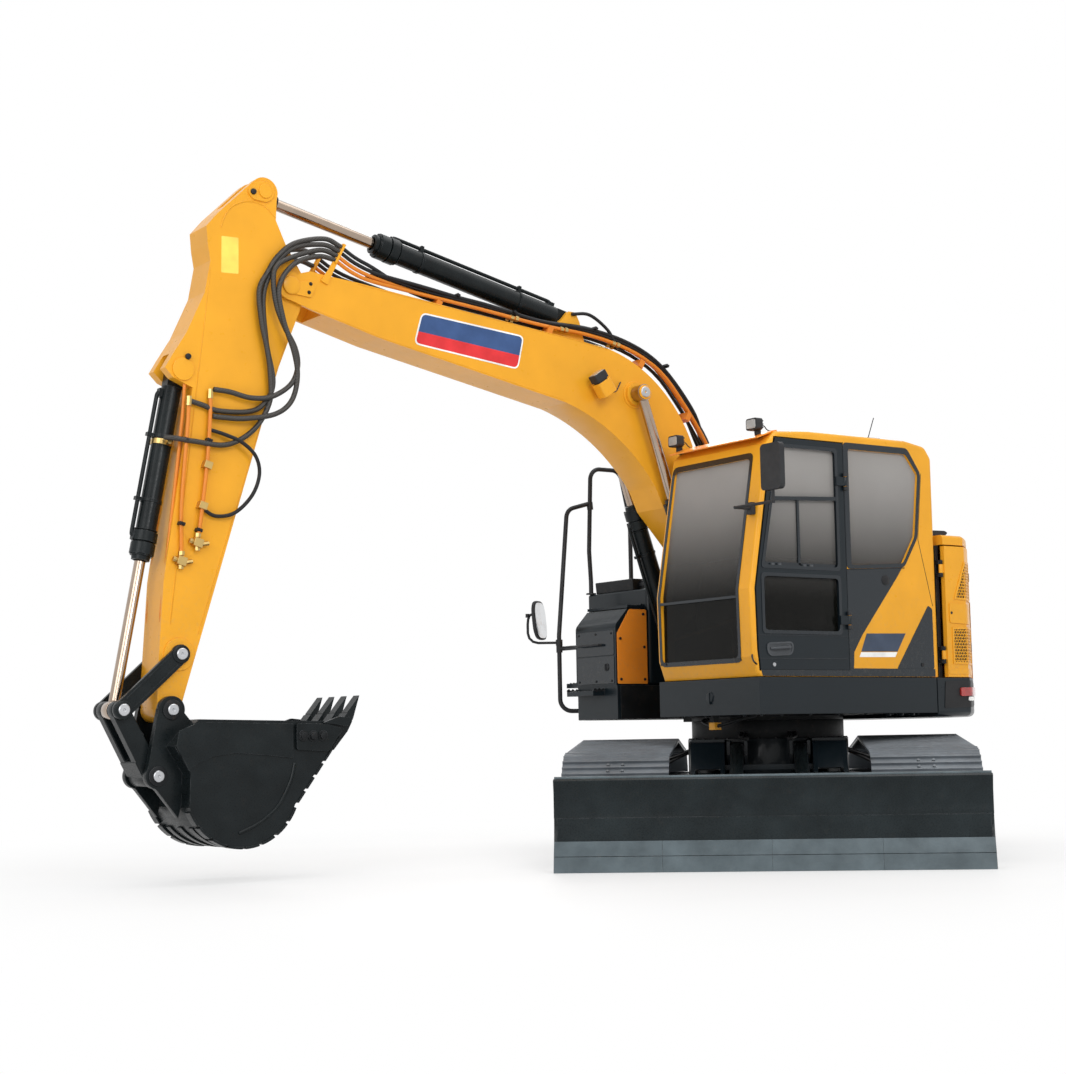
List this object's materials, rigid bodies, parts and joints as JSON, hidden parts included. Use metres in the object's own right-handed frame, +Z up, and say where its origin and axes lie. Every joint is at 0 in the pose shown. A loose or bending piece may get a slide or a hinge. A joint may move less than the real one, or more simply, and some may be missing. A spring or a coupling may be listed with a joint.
{
  "type": "zero tail swing excavator",
  "caption": "Crawler excavator whose short round tail stays inside its tracks' width, with a boom, arm and bucket, a cab and a dozer blade, all jointed.",
  "frame": {"origin": "on the ground under the middle of the whole machine's box as it stands", "axes": "+X forward along the boom, +Y to the cab's side, +Z up; the undercarriage is turned 49 degrees about the swing axis"},
  "size_m": [7.2263, 4.8593, 4.3874],
  "materials": {
    "body_yellow": "glossy yellow-orange paint",
    "frame_slate": "semi-gloss dark slate paint",
    "tool_black": "satin black paint",
    "track_steel": "dark painted and worn steel",
    "cast_dark": "dark cast iron",
    "rod_chrome": "polished chrome",
    "window_glass": "smoked glass",
    "seat_fabric": "dark woven fabric",
    "cab_plastic": "dark moulded plastic",
    "rail_black": "satin black tube"
  },
  "bodies": {
    "undercarriage": {"track_left": "track_steel", "track_right": "track_steel", "track_frames": "frame_slate", "track_rollers": "cast_dark", "sprockets": "cast_dark", "idlers": "cast_dark", "car_body": "frame_slate", "swing_ring": "cast_dark"},
    "upper": {"main_frame": "frame_slate", "deck_skirts": "frame_slate", "counterweight": "cast_dark", "engine": "cast_dark", "fuel_tank": "frame_slate", "hydraulic_tank": "frame_slate", "toolbox": "frame_slate", "handrails": "rail_black", "cab_frame": "body_yellow", "cab_glass": "window_glass", "seat_base": "cab_plastic", "seat_cushion": "seat_fabric", "seat_backrest": "seat_fabric", "control_consoles": "cab_plastic", "mirror_left": "cab_plastic", "mirror_right": "cab_plastic"},
    "blade": {"dozer_blade": "frame_slate"},
    "blade_barrels": {"blade_cylinder_barrel": "frame_slate"},
    "blade_rods": {"blade_cylinder_rod": "rod_chrome"},
    "door": {"cab_door": "frame_slate", "door_glass": "window_glass"},
    "hood": {"engine_hood": "body_yellow"},
    "left_cover": {"left_cover": "body_yellow"},
    "right_cover": {"right_cover": "body_yellow"},
    "toolbox_lid": {"toolbox_lid": "frame_slate"},
    "boom": {"boom": "body_yellow"},
    "arm": {"arm": "body_yellow"},
    "rocker": {"rocker_links": "tool_black"},
    "link": {"bucket_link": "tool_black"},
    "bucket": {"bucket": "tool_black", "bucket_teeth": "tool_black"},
    "boom_barrels": {"boom_cylinder_barrel": "frame_slate"},
    "boom_rods": {"boom_cylinder_rod": "rod_chrome"},
    "arm_barrel": {"arm_cylinder_barrel": "frame_slate"},
    "arm_rod": {"arm_cylinder_rod": "rod_chrome"},
    "bucket_barrel": {"bucket_cylinder_barrel": "frame_slate"},
    "bucket_rod": {"bucket_cylinder_rod": "rod_chrome"}
  },
  "joints": [
    {"name": "swing", "type": "hinge", "parent": "undercarriage", "child": "upper", "pos_m": [-1.448, -0.222, 0.93], "axis": [0, 0, 1], "continuous": true},
    {"name": "boom_lift", "type": "hinge", "parent": "upper", "child": "boom", "pos_m": [-1.528, -0.342, 1.55], "axis": [0, -1, 0], "range_deg": [-63, 36.7]},
    {"name": "arm_crowd", "type": "hinge", "parent": "boom", "child": "arm", "pos_m": [2.44074, -0.342, 3.70485], "axis": [0, -1, 0], "range_deg": [-38, 82]},
    {"name": "bucket_curl", "type": "hinge", "parent": "arm", "child": "bucket", "pos_m": [3.25209, -0.342, 1.03438], "axis": [0, -1, 0], "range_deg": [-12, 140]},
    {"name": "boom_cylinder_tilt", "type": "hinge", "parent": "upper", "child": "boom_barrels", "pos_m": [-1.013, -0.342, 1.106], "axis": [0, -1, 0], "range_deg": [-61.08, 35.83]},
    {"name": "boom_cylinder_stroke", "type": "slide", "parent": "boom_barrels", "child": "boom_rods", "axis": [0.3304, 0, 0.9439], "range_m": [-0.6527, 0.3819]},
    {"name": "arm_cylinder_tilt", "type": "hinge", "parent": "boom", "child": "arm_barrel", "pos_m": [0.21206, -0.342, 3.73963], "axis": [0, -1, 0], "range_deg": [-1.74, 3.06]},
    {"name": "arm_cylinder_stroke", "type": "slide", "parent": "arm_barrel", "child": "arm_rod", "axis": [0.9743, 0, 0.225], "range_m": [-0.7267, 0.3389]},
    {"name": "rocker_turn", "type": "hinge", "parent": "arm", "child": "rocker", "pos_m": [3.18665, -0.342, 1.36671], "axis": [0, -1, 0], "range_deg": [-10.16, 112.12]},
    {"name": "link_turn", "type": "hinge", "parent": "bucket", "child": "link", "pos_m": [3.34309, -0.342, 0.64438], "axis": [0, -1, 0], "range_deg": [-102.69, 9.35]},
    {"name": "bucket_cylinder_tilt", "type": "hinge", "parent": "arm", "child": "bucket_barrel", "pos_m": [3.16332, -0.342, 3.105], "axis": [0, -1, 0], "range_deg": [-2.63, 0.77]},
    {"name": "bucket_cylinder_stroke", "type": "slide", "parent": "bucket_barrel", "child": "bucket_rod", "axis": [0.1851, 0, -0.9827], "range_m": [-0.8206, 0.074]},
    {"name": "blade_lift", "type": "hinge", "parent": "undercarriage", "child": "blade", "pos_m": [-0.82662, 0.4966, 0.5], "axis": [0.7564, -0.6541, 0], "range_deg": [-18, 18]},
    {"name": "blade_cylinder_tilt", "type": "hinge", "parent": "undercarriage", "child": "blade_barrels", "pos_m": [-0.93782, 0.36801, 0.745], "axis": [0.7564, -0.6541, 0], "range_deg": [-15.63, 15.63]},
    {"name": "blade_cylinder_stroke", "type": "slide", "parent": "blade_barrels", "child": "blade_rods", "axis": [0.6379, 0.7377, -0.2213], "range_m": [-0.0668, 0.0668]},
    {"name": "cab_door_swing", "type": "hinge", "parent": "upper", "child": "door", "pos_m": [-1.137, 1.008, 1.25], "axis": [0, 0, 1], "range_deg": [0, 170]},
    {"name": "left_cover_swing", "type": "hinge", "parent": "upper", "child": "left_cover", "pos_m": [-2.028, 0.9995, 1.206], "axis": [0, 0, -1], "range_deg": [0, 95]},
    {"name": "right_cover_swing", "type": "hinge", "parent": "upper", "child": "right_cover", "pos_m": [-2.028, -1.4435, 1.206], "axis": [0, 0, 1], "range_deg": [0, 95]},
    {"name": "hood_lift", "type": "hinge", "parent": "upper", "child": "hood", "pos_m": [-2.024, -0.222, 2.187], "axis": [0, 1, 0], "range_deg": [0, 48]},
    {"name": "toolbox_lid_lift", "type": "hinge", "parent": "upper", "child": "toolbox_lid", "pos_m": [-0.702, -0.919, 1.793], "axis": [0, -1, 0], "range_deg": [0, 80]}
  ],
  "couplings": [
    {"joint": "boom_cylinder_tilt", "follows": "boom_lift", "ratio": 0.96},
    {"joint": "boom_cylinder_stroke", "follows": "boom_lift", "m_per_rad": 0.59},
    {"joint": "arm_cylinder_tilt", "follows": "arm_crowd", "ratio": 0.03},
    {"joint": "arm_cylinder_stroke", "follows": "arm_crowd", "m_per_rad": -0.505},
    {"joint": "rocker_turn", "follows": "bucket_curl", "ratio": 0.7966},
    {"joint": "link_turn", "follows": "bucket_curl", "ratio": -0.7292},
    {"joint": "bucket_cylinder_tilt", "follows": "bucket_curl", "ratio": -0.0145},
    {"joint": "bucket_cylinder_stroke", "follows": "bucket_curl", "m_per_rad": -0.3342},
    {"joint": "blade_cylinder_tilt", "follows": "blade_lift", "ratio": 0.835},
    {"joint": "blade_cylinder_stroke", "follows": "blade_lift", "m_per_rad": -0.2}
  ]
}
